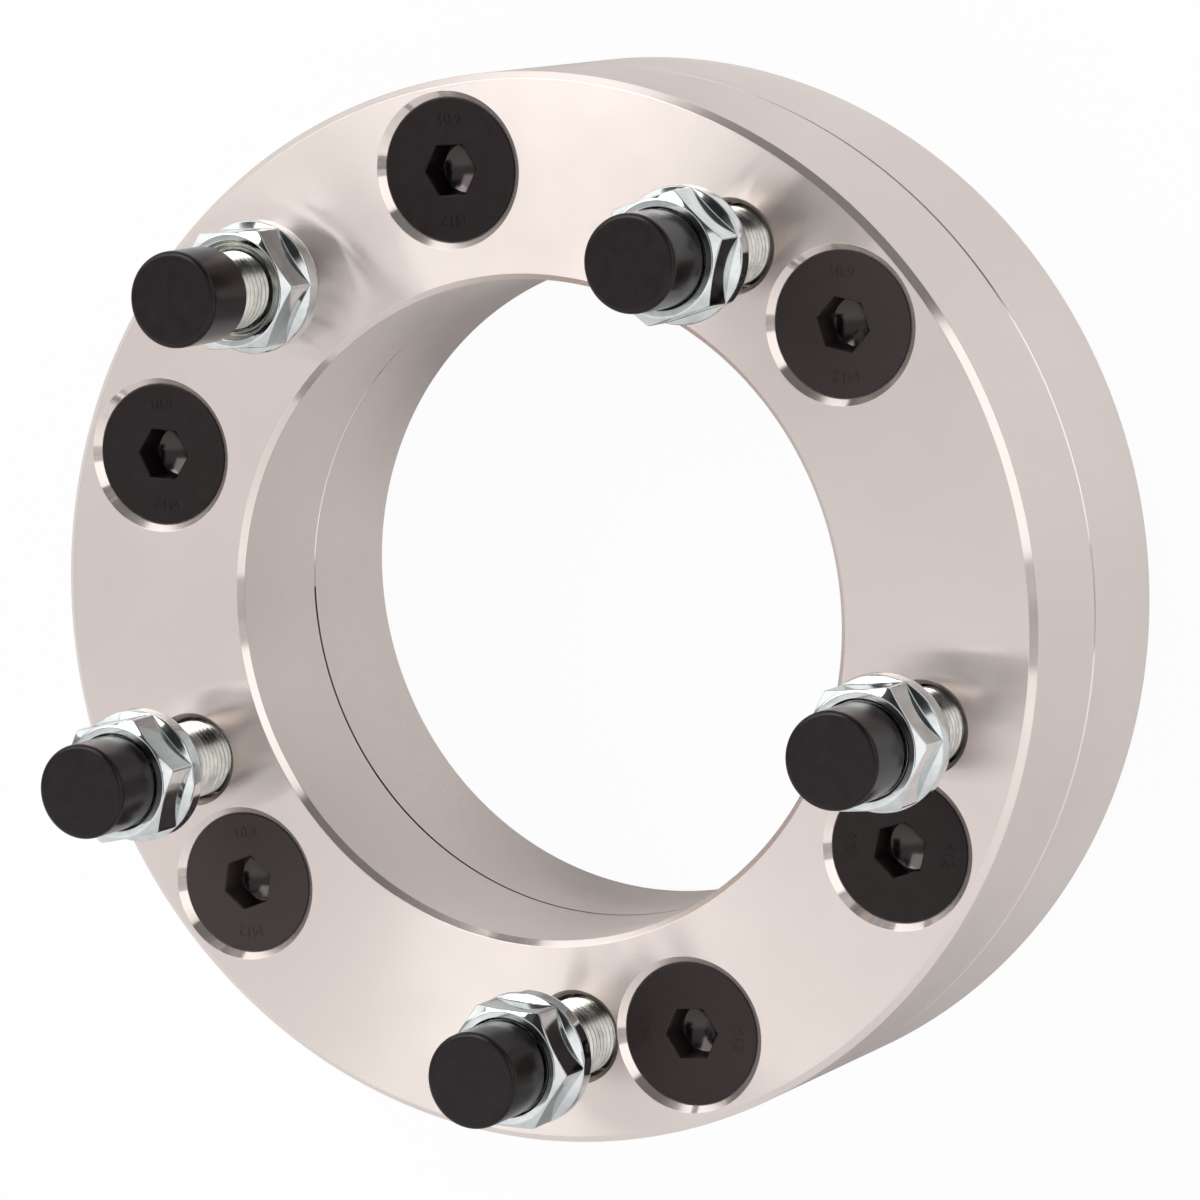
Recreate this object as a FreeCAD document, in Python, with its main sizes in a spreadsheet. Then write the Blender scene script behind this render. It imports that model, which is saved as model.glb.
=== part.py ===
import FreeCAD, Part
import os
import Sketcher

# Two-piece wheel spacer. It bolts to a six-stud hub and carries a five-stud wheel.
# The hub face lies on z = 0, the spacer axis is +Z and the wheel studs point up.
# The first wheel stud stands at +Y, the others follow anticlockwise seen from the wheel side.

os.makedirs("parts", exist_ok=True)
doc = FreeCAD.newDocument("WheelSpacer")
sizes = doc.addObject("Spreadsheet::Sheet", "Sizes")

# Sizes in millimetres and degrees
driving_sizes = [
    ("ring_outer_d", 175.0, "outside of both rings"),
    ("ring_bore_d", 108.0, "centre bore of both rings"),
    ("ring_thick", 25.4, "thickness of each ring"),
    ("face_chamfer", 1.15, "outer edge at the wheel face and at the hub face"),
    ("bore_chamfer", 1.0, "bore edge at the wheel face and at the hub face"),
    ("joint_break", 0.4, "broken edges where the rings meet"),
    ("stud_circle_d", 139.7, "circle of the wheel studs and of the hub studs"),
    ("stud_count", 5, "wheel studs"),
    ("hub_hole_count", 6, "hub stud holes"),
    ("thread_d", 12.7, "wheel stud thread"),
    ("stud_reach", 33.0, "stud end above the wheel face"),
    ("stud_tip_chamfer", 1.2, "stud end"),
    ("stud_head_d", 19.5, "stud head"),
    ("stud_head_thick", 5.0, "stud head"),
    ("stud_head_break", 0.4, "stud head edge"),
    ("stud_head_gap", 0.25, "radial room around the stud head"),
    ("stud_head_sink", 0.2, "stud head below the joint face"),
    ("stud_seat_gap", 0.05, "room under the stud head"),
    ("knurl_d", 13.4, "knurled shank"),
    ("knurl_gap", 0.05, "radial room around the knurl"),
    ("knurl_length", 11.5, "knurled shank"),
    ("stud_hole_d", 14.0, "open part of the stud hole"),
    ("stud_hole_depth", 8.0, "open part of the stud hole"),
    ("stud_hole_chamfer", 0.8, "stud hole edge at the wheel face"),
    ("screw_circle_d", 145.6, "circle of the ring screws"),
    ("screw_angle_near", 30.0, "screw pair nearest the first stud"),
    ("screw_angle_side", 90.0, "screw pair at the sides"),
    ("screw_angle_far", 160.3, "screw pair opposite the first stud"),
    ("screw_d", 12.0, "screw thread"),
    ("screw_length", 40.0, "screw with its head"),
    ("screw_head_d", 23.2, "countersunk head"),
    ("screw_head_land", 0.25, "straight rim of the head"),
    ("screw_head_break", 0.15, "top edge of the head"),
    ("screw_sink", 0.95, "head below the wheel face"),
    ("screw_tip_chamfer", 1.0, "screw end"),
    ("screw_thread_gap", 0.1, "radial room in the tapped hole"),
    ("screw_hole_gap", 0.6, "radial room through the wheel ring"),
    ("screw_seat_gap", 0.07, "radial room at the countersink"),
    ("tapped_depth", 19.0, "tapped hole below the joint face"),
    ("tapped_tip", 3.0, "cone at the bottom of the tapped hole"),
    ("tapped_mouth", 0.6, "chamfer at the tapped hole mouth"),
    ("socket_flats", 8.0, "hex socket across flats"),
    ("socket_depth", 5.8, "hex socket"),
    ("socket_cone", 1.8, "drilled cone below the socket"),
    ("socket_mouth", 0.35, "chamfer at the socket mouth"),
    ("hub_hole_d", 14.5, "hub stud hole"),
    ("hub_hole_chamfer", 0.6, "hub stud hole at the hub face"),
    ("hub_pocket_d", 27.0, "pocket for a hub nut and its wrench"),
    ("hub_pocket_depth", 14.4, "pocket below the joint face"),
    ("hub_seat_depth", 6.0, "conical hub nut seat below the pocket floor"),
    ("hub_seat_top_d", 21.4, "conical hub nut seat at the pocket floor"),
    ("nut_flats", 19.0, "wheel nut across flats"),
    ("nut_hex_length", 10.0, "nut from its widest back edge to its front"),
    ("nut_corner_round", 0.7, "hexagon corners"),
    ("nut_bulge_d", 21.9, "round bulge behind the hexagon"),
    ("nut_bulge_length", 2.8, "straight part of the bulge"),
    ("nut_bulge_slope", 0.8, "length of the slope from the bulge to the flats"),
    ("nut_bulge_round", 0.5, "back edge of the bulge"),
    ("nut_seat_length", 6.2, "conical seat"),
    ("nut_seat_end_d", 14.74, "conical seat at its small end"),
    ("nut_bore_gap", 0.1, "radial room between nut and thread"),
    ("nut_back_chamfer", 0.35, "bore edge at the small end"),
    ("nut_land_d", 18.4, "flat ring on the nut front"),
    ("nut_front_angle", 30.0, "front chamfer from the face"),
    ("nut_mouth_d", 16.0, "countersink in the nut front"),
    ("nut_mouth_depth", 1.3, "countersink in the nut front"),
    ("cap_d", 15.6, "thread cap"),
    ("cap_length", 10.6, "thread cap"),
    ("cap_front_round", 0.9, "closed edge of the cap"),
    ("cap_back_chamfer", 0.3, "open edge of the cap"),
    ("cap_end_wall", 1.5, "closed end of the cap"),
    ("cap_bore_gap", 0.1, "radial room between cap and thread"),
]

# Back edge of each nut above the wheel face, and the turn of its hexagon
nut_places = [(5.85, 22.08), (16.0, 31.08), (16.6, 15.08), (14.6, 24.08), (16.4, 36.08)]
# Front of each cap above the wheel face
cap_heights = [34.8, 36.7, 37.8, 36.0, 37.1]
# Pair, side and socket turn of each screw
screw_places = [
    ("screw_angle_near", 1, 16.08),
    ("screw_angle_side", 1, 46.08),
    ("screw_angle_far", 1, 15.08),
    ("screw_angle_far", -1, 41.08),
    ("screw_angle_side", -1, 41.08),
    ("screw_angle_near", -1, 16.08),
]

for number, (height, turn) in enumerate(nut_places, start=1):
    driving_sizes.append((f"nut_height_{number}", height, f"nut {number} above the wheel face"))
    driving_sizes.append((f"nut_turn_{number}", turn, f"turn of nut {number}"))
for number, height in enumerate(cap_heights, start=1):
    driving_sizes.append((f"cap_height_{number}", height, f"cap {number} above the wheel face"))
for number, (pair, side, turn) in enumerate(screw_places, start=1):
    driving_sizes.append((f"socket_turn_{number}", turn, f"turn of socket {number}"))

for row, (alias, value, note) in enumerate(driving_sizes, start=1):
    sizes.set(f"A{row}", note)
    sizes.set(f"B{row}", str(value))
    sizes.setAlias(f"B{row}", alias)
doc.recompute()


def origin_plane(body, role):
    return [feature for feature in body.Origin.OriginFeatures if feature.Role == role][0]


def new_body(label):
    body = doc.addObject("PartDesign::Body", label)
    body.Label = label
    return body


def profile(body, name, corners, turn=None):
    """A closed outline in the plane of the axis and the first stud: x is outwards, y is along the axis."""
    sketch = body.newObject("Sketcher::SketchObject", name)
    sketch.AttachmentSupport = (origin_plane(body, "YZ_Plane"), "")
    sketch.MapMode = "FlatFace"
    if turn:
        offset = f"placement(vector(0; 0; 0); rotation(vector(0; 1; 0); {turn}))"
        sketch.setExpression("AttachmentOffset", offset)
    count = len(corners)
    for index in range(count):
        after = (index + 1) % count
        start = FreeCAD.Vector(index, index * index, 0)
        end = FreeCAD.Vector(after, after * after, 0)
        sketch.addGeometry(Part.LineSegment(start, end), False)
    for index in range(count):
        sketch.addConstraint(Sketcher.Constraint("Coincident", index, 2, (index + 1) % count, 1))
    for index, corner in enumerate(corners):
        for letter, expression in zip("XY", corner):
            name_here = f"corner_{letter.lower()}_{index}"
            distance = Sketcher.Constraint("Distance" + letter, -1, 1, index, 1, index + 1.0)
            sketch.renameConstraint(sketch.addConstraint(distance), name_here)
            sketch.setExpression("Constraints." + name_here, expression)
    return sketch


def turned(body, kind, name, corners, axis="V_Axis", turn=None):
    """A turned solid or a turned cut with this outline."""
    sketch = profile(body, name + "Profile", corners, turn)
    feature = body.newObject("PartDesign::" + kind, name)
    feature.Profile = sketch
    feature.ReferenceAxis = (sketch, [axis])
    feature.Angle = 360
    body.Tip = feature
    doc.recompute()
    return feature


def hexagon(body, name, flats, height):
    """A regular hexagon around the axis with one corner on +X. flats names its size across flats."""
    sketch = body.newObject("Sketcher::SketchObject", name)
    sketch.AttachmentSupport = (origin_plane(body, "XY_Plane"), "")
    sketch.MapMode = "FlatFace"
    sketch.setExpression("AttachmentOffset.Base.z", height)
    centre = FreeCAD.Vector(0, 0, 0)
    upright = FreeCAD.Vector(0, 0, 1)
    corner_r = sizes.get(flats) / 3 ** 0.5
    first = FreeCAD.Vector(corner_r, 0, 0)
    corners = [FreeCAD.Rotation(upright, 60 * index).multVec(first) for index in range(6)]
    for index in range(6):
        sketch.addGeometry(Part.LineSegment(corners[index], corners[(index + 1) % 6]), False)
    circle = sketch.addGeometry(Part.Circle(centre, upright, corner_r), True)
    for index in range(6):
        sketch.addConstraint(Sketcher.Constraint("Coincident", index, 2, (index + 1) % 6, 1))
        sketch.addConstraint(Sketcher.Constraint("PointOnObject", index, 1, circle))
    for index in range(5):
        sketch.addConstraint(Sketcher.Constraint("Equal", index, index + 1))
    sketch.addConstraint(Sketcher.Constraint("Coincident", circle, 3, -1, 1))
    sketch.addConstraint(Sketcher.Constraint("PointOnObject", 0, 1, -1))
    added = sketch.addConstraint(Sketcher.Constraint("Diameter", circle, 2 * corner_r))
    sketch.renameConstraint(added, "across_corners")
    sketch.setExpression("Constraints.across_corners", f"Sizes.{flats} * 2 / sqrt(3)")
    return sketch


def rounded(body, base, name, radius, chosen):
    """Rounds the chosen edges of the last feature."""
    feature = body.newObject("PartDesign::Fillet", name)
    edges = enumerate(base.Shape.Edges, start=1)
    feature.Base = (base, [f"Edge{index}" for index, edge in edges if chosen(edge)])
    feature.setExpression("Radius", radius)
    body.Tip = feature
    doc.recompute()
    return feature


def circle_at(radius, height):
    """Picks round edges by their radius and height."""
    def chosen(edge):
        curve = edge.Curve
        return (
            curve.TypeId == "Part::GeomCircle"
            and abs(curve.Radius - radius) < 0.001
            and abs(curve.Center.z - height) < 0.001
        )
    return chosen


def upright_edge(edge):
    ends = [vertex.Point for vertex in edge.Vertexes]
    return len(ends) == 2 and abs(ends[0].x - ends[1].x) + abs(ends[0].y - ends[1].y) < 0.001


def place(body, radius, angle, height, turn="0"):
    """Stands a body at this radius and angle, turned about its own axis."""
    body.setExpression(
        "Placement",
        f"placement(vector({radius} * cos({angle}); {radius} * sin({angle}); {height});"
        f" rotation(vector(0; 0; 1); {turn}))",
    )


def screw_holes(body, name, corners):
    """Cuts the hole of each screw pair on one side and mirrors them across the first stud."""
    cuts = []
    for pair in ("near", "side", "far"):
        angle = f"Sizes.screw_angle_{pair}"
        cuts.append(turned(body, "Groove", name + pair.title(), corners, hole_axis(corners), angle))
    mirrored = body.newObject("PartDesign::Mirrored", name + "Mirrored")
    mirrored.Originals = cuts
    mirrored.MirrorPlane = (origin_plane(body, "YZ_Plane"), [""])
    body.Tip = mirrored
    doc.recompute()


def hole_axis(corners):
    """The last edge of a hole outline runs along the hole's axis."""
    return f"Edge{len(corners)}"


def hole_pattern(body, cut, count):
    """Repeats a hole evenly around the spacer axis."""
    pattern = body.newObject("PartDesign::PolarPattern", cut.Name + "Pattern")
    pattern.Originals = [cut]
    pattern.Axis = (cut.Profile[0], ["V_Axis"])
    pattern.Angle = 360
    pattern.setExpression("Occurrences", count)
    body.Tip = pattern
    doc.recompute()


# Hub ring, local z = 0 on the hub face
outer_r = "Sizes.ring_outer_d / 2"
bore_r = "Sizes.ring_bore_d / 2"
ring_top = "Sizes.ring_thick"
hub_ring = new_body("hub_ring")
turned(hub_ring, "Revolution", "HubRingBlank", [
    (f"{bore_r} + Sizes.bore_chamfer", "0"),
    (f"{outer_r} - Sizes.face_chamfer", "0"),
    (outer_r, "Sizes.face_chamfer"),
    (outer_r, f"{ring_top} - Sizes.joint_break"),
    (f"{outer_r} - Sizes.joint_break", ring_top),
    (f"{bore_r} + Sizes.joint_break", ring_top),
    (bore_r, f"{ring_top} - Sizes.joint_break"),
    (bore_r, "Sizes.bore_chamfer"),
])

stud_r = "Sizes.stud_circle_d / 2"
hub_hole_r = f"{stud_r} + Sizes.hub_hole_d / 2"
pocket_floor = f"{ring_top} - Sizes.hub_pocket_depth"
hub_hole_corners = [
    (stud_r, "0"),
    (f"{hub_hole_r} + Sizes.hub_hole_chamfer", "0"),
    (hub_hole_r, "Sizes.hub_hole_chamfer"),
    (hub_hole_r, f"{pocket_floor} - Sizes.hub_seat_depth"),
    (f"{stud_r} + Sizes.hub_seat_top_d / 2", pocket_floor),
    (f"{stud_r} + Sizes.hub_pocket_d / 2", pocket_floor),
    (f"{stud_r} + Sizes.hub_pocket_d / 2", ring_top),
    (stud_r, ring_top),
]
hub_hole = turned(hub_ring, "Groove", "HubHole", hub_hole_corners, hole_axis(hub_hole_corners))
hole_pattern(hub_ring, hub_hole, "Sizes.hub_hole_count")

screw_r = "Sizes.screw_circle_d / 2"
tapped_r = f"{screw_r} + Sizes.screw_d / 2"
screw_holes(hub_ring, "TappedHole", [
    (screw_r, f"{ring_top} - Sizes.tapped_depth - Sizes.tapped_tip"),
    (tapped_r, f"{ring_top} - Sizes.tapped_depth"),
    (tapped_r, f"{ring_top} - Sizes.tapped_mouth"),
    (f"{tapped_r} + Sizes.tapped_mouth", ring_top),
    (screw_r, ring_top),
])

# Wheel ring, local z = 0 on the joint face
wheel_ring = new_body("wheel_ring")
turned(wheel_ring, "Revolution", "WheelRingBlank", [
    (f"{bore_r} + Sizes.joint_break", "0"),
    (f"{outer_r} - Sizes.joint_break", "0"),
    (outer_r, "Sizes.joint_break"),
    (outer_r, f"{ring_top} - Sizes.face_chamfer"),
    (f"{outer_r} - Sizes.face_chamfer", ring_top),
    (f"{bore_r} + Sizes.bore_chamfer", ring_top),
    (bore_r, f"{ring_top} - Sizes.bore_chamfer"),
    (bore_r, "Sizes.joint_break"),
])
wheel_ring.setExpression("Placement.Base.z", ring_top)

head_hole_r = f"{stud_r} + Sizes.stud_head_d / 2 + Sizes.stud_head_gap"
head_floor = "Sizes.stud_head_sink + Sizes.stud_head_thick + Sizes.stud_seat_gap"
knurl_hole_r = f"{stud_r} + Sizes.knurl_d / 2 + Sizes.knurl_gap"
stud_hole_r = f"{stud_r} + Sizes.stud_hole_d / 2"
stud_hole_corners = [
    (stud_r, "0"),
    (head_hole_r, "0"),
    (head_hole_r, head_floor),
    (knurl_hole_r, head_floor),
    (knurl_hole_r, f"{ring_top} - Sizes.stud_hole_depth"),
    (stud_hole_r, f"{ring_top} - Sizes.stud_hole_depth"),
    (stud_hole_r, f"{ring_top} - Sizes.stud_hole_chamfer"),
    (f"{stud_hole_r} + Sizes.stud_hole_chamfer", ring_top),
    (stud_r, ring_top),
]
stud_hole = turned(wheel_ring, "Groove", "StudHole", stud_hole_corners, hole_axis(stud_hole_corners))
hole_pattern(wheel_ring, stud_hole, "Sizes.stud_count")

# The countersink falls at 45 degrees from the wheel face and carries the head
head_rim = f"{ring_top} - Sizes.screw_sink - Sizes.screw_head_land"
clear_hole = "(Sizes.screw_d / 2 + Sizes.screw_hole_gap)"
head_radius = "(Sizes.screw_head_d / 2)"
cone_r = f"{head_radius} + Sizes.screw_seat_gap"
screw_holes(wheel_ring, "ScrewHole", [
    (screw_r, "0"),
    (f"{screw_r} + {clear_hole}", "0"),
    (f"{screw_r} + {clear_hole}", f"{head_rim} - ({cone_r} - {clear_hole})"),
    (f"{screw_r} + {cone_r} + Sizes.screw_sink + Sizes.screw_head_land", ring_top),
    (screw_r, ring_top),
])

# Ring screws, local z = 0 at the tip
bodies = [wheel_ring, hub_ring]
wheel_face = "2 * Sizes.ring_thick"
screw_top = "Sizes.screw_length"
shank_r = "(Sizes.screw_d / 2 - Sizes.screw_thread_gap)"
socket_floor = f"{screw_top} - Sizes.socket_depth"
for number, (pair, side, turn) in enumerate(screw_places, start=1):
    screw = new_body(f"ring_screw_{number}")
    turned(screw, "Revolution", f"ScrewBlank{number}", [
        ("0", "0"),
        (f"{shank_r} - Sizes.screw_tip_chamfer", "0"),
        (shank_r, "Sizes.screw_tip_chamfer"),
        (shank_r, f"{screw_top} - Sizes.screw_head_land - {head_radius} + {shank_r}"),
        (head_radius, f"{screw_top} - Sizes.screw_head_land"),
        (head_radius, f"{screw_top} - Sizes.screw_head_break"),
        (f"{head_radius} - Sizes.screw_head_break", screw_top),
        ("0", screw_top),
    ])
    socket = screw.newObject("PartDesign::Pocket", f"Socket{number}")
    socket.Profile = hexagon(screw, f"SocketHexagon{number}", "socket_flats", screw_top)
    socket.setExpression("Length", "Sizes.socket_depth")
    screw.Tip = socket
    doc.recompute()
    turned(screw, "Groove", f"SocketCone{number}", [
        ("0", f"{socket_floor} - Sizes.socket_cone"),
        ("Sizes.socket_flats / 2", socket_floor),
        ("0", socket_floor),
    ])
    mouth_r = "Sizes.socket_flats / sqrt(3)"
    turned(screw, "Groove", f"SocketMouth{number}", [
        ("0", f"{screw_top} - Sizes.socket_mouth"),
        (mouth_r + " - Sizes.socket_mouth / 2", f"{screw_top} - Sizes.socket_mouth"),
        (mouth_r + " + Sizes.socket_mouth / 2", screw_top),
        ("0", screw_top),
    ])
    screw_angle = f"(90deg + {side} * Sizes.{pair} * 1deg)"
    tip_height = f"{wheel_face} - Sizes.screw_sink - {screw_top}"
    place(screw, screw_r, screw_angle, tip_height, f"Sizes.socket_turn_{number}")
    bodies.append(screw)

# Wheel studs with their nuts and caps
thread_r = "(Sizes.thread_d / 2)"
knurl_end = "Sizes.stud_head_thick + Sizes.knurl_length"
stud_length = "(Sizes.ring_thick - Sizes.stud_head_sink + Sizes.stud_reach)"
nut_seat_end = "Sizes.nut_seat_length"
nut_front = f"({nut_seat_end} + Sizes.nut_hex_length)"
bulge_r = "(Sizes.nut_bulge_d / 2)"
nut_bore_r = f"({thread_r} + Sizes.nut_bore_gap)"
beyond_nut = f"({bulge_r} * 1.1)"
front_slope = "tan(Sizes.nut_front_angle * 1deg)"
cap_r = "Sizes.cap_d / 2"
cap_bore_r = f"{thread_r} + Sizes.cap_bore_gap"
cap_bore_end = "Sizes.cap_length - Sizes.cap_end_wall"
for number in range(1, sizes.get("stud_count") + 1):
    stud_angle = f"(90deg + {number - 1} * 360deg / Sizes.stud_count)"

    # Stud, local z = 0 under its head
    stud = new_body(f"wheel_stud_{number}")
    turned(stud, "Revolution", f"StudBlank{number}", [
        ("0", "0"),
        ("Sizes.stud_head_d / 2 - Sizes.stud_head_break", "0"),
        ("Sizes.stud_head_d / 2", "Sizes.stud_head_break"),
        ("Sizes.stud_head_d / 2", "Sizes.stud_head_thick"),
        ("Sizes.knurl_d / 2", "Sizes.stud_head_thick"),
        ("Sizes.knurl_d / 2", f"{knurl_end} - Sizes.knurl_d / 2 + {thread_r}"),
        (thread_r, knurl_end),
        (thread_r, f"{stud_length} - Sizes.stud_tip_chamfer"),
        (f"{thread_r} - Sizes.stud_tip_chamfer", stud_length),
        ("0", stud_length),
    ])
    place(stud, stud_r, stud_angle, "Sizes.ring_thick + Sizes.stud_head_sink")
    bodies.append(stud)

    # Nut, local z = 0 at the small end of its seat
    nut = new_body(f"wheel_nut_{number}")
    hex_start = f"{nut_seat_end} + Sizes.nut_bulge_length / 2"
    hex_pad = nut.newObject("PartDesign::Pad", f"NutHex{number}")
    hex_pad.Profile = hexagon(nut, f"NutHexagon{number}", "nut_flats", hex_start)
    hex_pad.setExpression("Length", f"{nut_front} - ({hex_start})")
    nut.Tip = hex_pad
    doc.recompute()
    rounded(nut, hex_pad, f"NutCorners{number}", "Sizes.nut_corner_round", upright_edge)
    bulge = turned(nut, "Revolution", f"NutBulge{number}", [
        ("0", "0"),
        ("Sizes.nut_seat_end_d / 2", "0"),
        (bulge_r, nut_seat_end),
        (bulge_r, f"{nut_seat_end} + Sizes.nut_bulge_length"),
        ("Sizes.nut_flats / 2", f"{nut_seat_end} + Sizes.nut_bulge_length + Sizes.nut_bulge_slope"),
        ("0", f"{nut_seat_end} + Sizes.nut_bulge_length + Sizes.nut_bulge_slope"),
    ])
    back_edge = circle_at(sizes.get("nut_bulge_d") / 2, sizes.get("nut_seat_length"))
    rounded(nut, bulge, f"NutBack{number}", "Sizes.nut_bulge_round", back_edge)
    turned(nut, "Groove", f"NutFront{number}", [
        ("Sizes.nut_land_d / 2", nut_front),
        (beyond_nut, f"{nut_front} - ({beyond_nut} - Sizes.nut_land_d / 2) * {front_slope}"),
        (beyond_nut, nut_front),
    ])
    turned(nut, "Groove", f"NutBore{number}", [
        ("0", "0"),
        (f"{nut_bore_r} + Sizes.nut_back_chamfer", "0"),
        (nut_bore_r, "Sizes.nut_back_chamfer"),
        (nut_bore_r, f"{nut_front} - Sizes.nut_mouth_depth"),
        ("Sizes.nut_mouth_d / 2", nut_front),
        ("0", nut_front),
    ])
    nut_height = f"{wheel_face} + Sizes.nut_height_{number} - {nut_seat_end}"
    place(nut, stud_r, stud_angle, nut_height, f"Sizes.nut_turn_{number}")
    bodies.append(nut)

    # Cap, local z = 0 at its open end
    cap = new_body(f"thread_cap_{number}")
    shell = turned(cap, "Revolution", f"CapShell{number}", [
        (cap_bore_r, "0"),
        (f"{cap_r} - Sizes.cap_back_chamfer", "0"),
        (cap_r, "Sizes.cap_back_chamfer"),
        (cap_r, "Sizes.cap_length"),
        ("0", "Sizes.cap_length"),
        ("0", cap_bore_end),
        (cap_bore_r, cap_bore_end),
    ])
    front_edge = circle_at(sizes.get("cap_d") / 2, sizes.get("cap_length"))
    rounded(cap, shell, f"CapFront{number}", "Sizes.cap_front_round", front_edge)
    place(cap, stud_r, stud_angle, f"{wheel_face} + Sizes.cap_height_{number} - Sizes.cap_length")
    bodies.append(cap)

doc.recompute()
for feature in doc.Objects:
    if "Invalid" in feature.State or "Error" in feature.State:
        raise RuntimeError(f"{feature.Name} did not build")
for body in bodies:
    shape = body.Shape
    if shape.isNull() or not shape.isValid():
        raise RuntimeError(f"{body.Label} has no valid shape")
    shape.exportStep(f"parts/{body.Label}.step")
    print(body.Label, round(shape.Volume, 3), len(shape.Solids))
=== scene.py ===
import math

import bmesh
import bpy
import numpy as np
from mathutils import Matrix, Vector
from mathutils.geometry import delaunay_2d_cdt


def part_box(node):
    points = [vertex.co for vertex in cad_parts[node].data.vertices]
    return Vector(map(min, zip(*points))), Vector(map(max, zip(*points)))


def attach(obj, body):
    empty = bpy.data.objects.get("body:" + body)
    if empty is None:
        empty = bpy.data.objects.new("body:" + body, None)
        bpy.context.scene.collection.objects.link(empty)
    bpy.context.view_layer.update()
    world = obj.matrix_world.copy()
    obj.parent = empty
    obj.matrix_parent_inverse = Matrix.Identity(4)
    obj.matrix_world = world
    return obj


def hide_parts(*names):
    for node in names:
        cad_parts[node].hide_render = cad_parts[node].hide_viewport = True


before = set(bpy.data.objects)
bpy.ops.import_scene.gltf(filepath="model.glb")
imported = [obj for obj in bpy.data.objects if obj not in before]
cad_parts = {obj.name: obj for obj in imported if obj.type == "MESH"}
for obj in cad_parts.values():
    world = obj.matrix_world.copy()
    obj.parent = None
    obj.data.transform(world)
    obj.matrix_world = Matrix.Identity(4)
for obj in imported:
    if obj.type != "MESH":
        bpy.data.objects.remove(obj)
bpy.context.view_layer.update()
print("frame loaded:", len(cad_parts), "nodes")

mm = 0.001  # sizes below are millimetres and degrees


# Meshes: every surface is a grid of rows along an outline and columns round an axis


def roundCorners(points, sizes, steps=4, closed=False):
    # Swaps each corner for a parabola that starts and ends `size` away from it, or just under
    # half way along a shorter side. points is corners x angles x (radius, height).
    before = np.roll(points, 1, axis=0) - points
    after = np.roll(points, -1, axis=0) - points
    share = np.linspace(0, 1, steps + 1)[:, None, None]
    rows = []
    for corner, size in enumerate(sizes):
        here = points[corner]
        if size == 0 or (not closed and corner in (0, len(points) - 1)):
            rows.append(here[None])
            continue
        backLength = np.maximum(np.linalg.norm(before[corner], axis=-1, keepdims=True), 1e-9)
        aheadLength = np.maximum(np.linalg.norm(after[corner], axis=-1, keepdims=True), 1e-9)
        reach = np.minimum(size, 0.45 * np.minimum(backLength, aheadLength))
        start = here + before[corner] * reach / backLength
        end = here + after[corner] * reach / aheadLength
        rows.append((1 - share) ** 2 * start + 2 * share * (1 - share) * here + share ** 2 * end)
    return np.concatenate(rows)


def outline(corners, angles):
    # Corners as (radius, height, rounding), where a radius or height may differ by angle.
    count = len(angles)
    points = np.stack([
        np.stack([np.broadcast_to(radius, count), np.broadcast_to(height, count)], axis=-1)
        for radius, height, rounding in corners
    ])
    return points, [rounding for radius, height, rounding in corners]


def turnedPatch(corners, angles, centre=(0, 0), closed=False, steps=4):
    # The outline carried round an upright axis: x = centre + radius cos(angle), y likewise with sin.
    points, sizes = outline(corners, angles)
    rows = roundCorners(points, sizes, steps, closed)
    x = centre[0] + rows[..., 0] * np.cos(angles)
    y = centre[1] + rows[..., 0] * np.sin(angles)
    return (*gridPatch(x, y, rows[..., 1], closed), centre)


def gridPatch(x, y, z, closed=False):
    # Columns always join the first again, rows only when closed.
    rowCount, columnCount = x.shape
    row = np.arange(rowCount if closed else rowCount - 1)[:, None]
    column = np.arange(columnCount)[None, :]
    nextRow = (row + 1) % rowCount
    nextColumn = (column + 1) % columnCount
    corners = [
        row * columnCount + column, row * columnCount + nextColumn,
        nextRow * columnCount + nextColumn, nextRow * columnCount + column,
    ]
    faces = np.stack(np.broadcast_arrays(*corners), axis=-1).reshape(-1, 4)
    return np.stack([x, y, z], axis=-1).reshape(-1, 3), faces


def circlePoints(radius, angles, centre=(0, 0)):
    return np.stack([centre[0] + radius * np.cos(angles), centre[1] + radius * np.sin(angles)], axis=-1)


def platePatch(height, outer, inner, holes):
    # A flat face between two circles with round holes: triangles between the loops, without
    # those whose middle lies in a hole. Each loop is (centre, radius, angles).
    loops = [outer, inner] + holes
    points = np.concatenate([circlePoints(radius, angles, centre) for centre, radius, angles in loops])
    edges = []
    start = 0
    for centre, radius, angles in loops:
        count = len(angles)
        edges += [(start + index, start + (index + 1) % count) for index in range(count)]
        start += count
    made = delaunay_2d_cdt([Vector(point) for point in points], edges, [], 0, 1e-7)
    flat = np.array([tuple(point) for point in made[0]])
    triangles = np.array(made[2])
    middle = flat[triangles].mean(axis=1)
    keep = np.ones(len(triangles), bool)
    for centre, radius, angles in [inner] + holes:
        insideReach = radius * math.cos(math.pi / len(angles))
        keep &= np.hypot(middle[:, 0] - centre[0], middle[:, 1] - centre[1]) > insideReach
    vertices = np.column_stack([flat, np.full(len(flat), height)])
    return vertices, triangles[keep], (0, 0)


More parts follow.
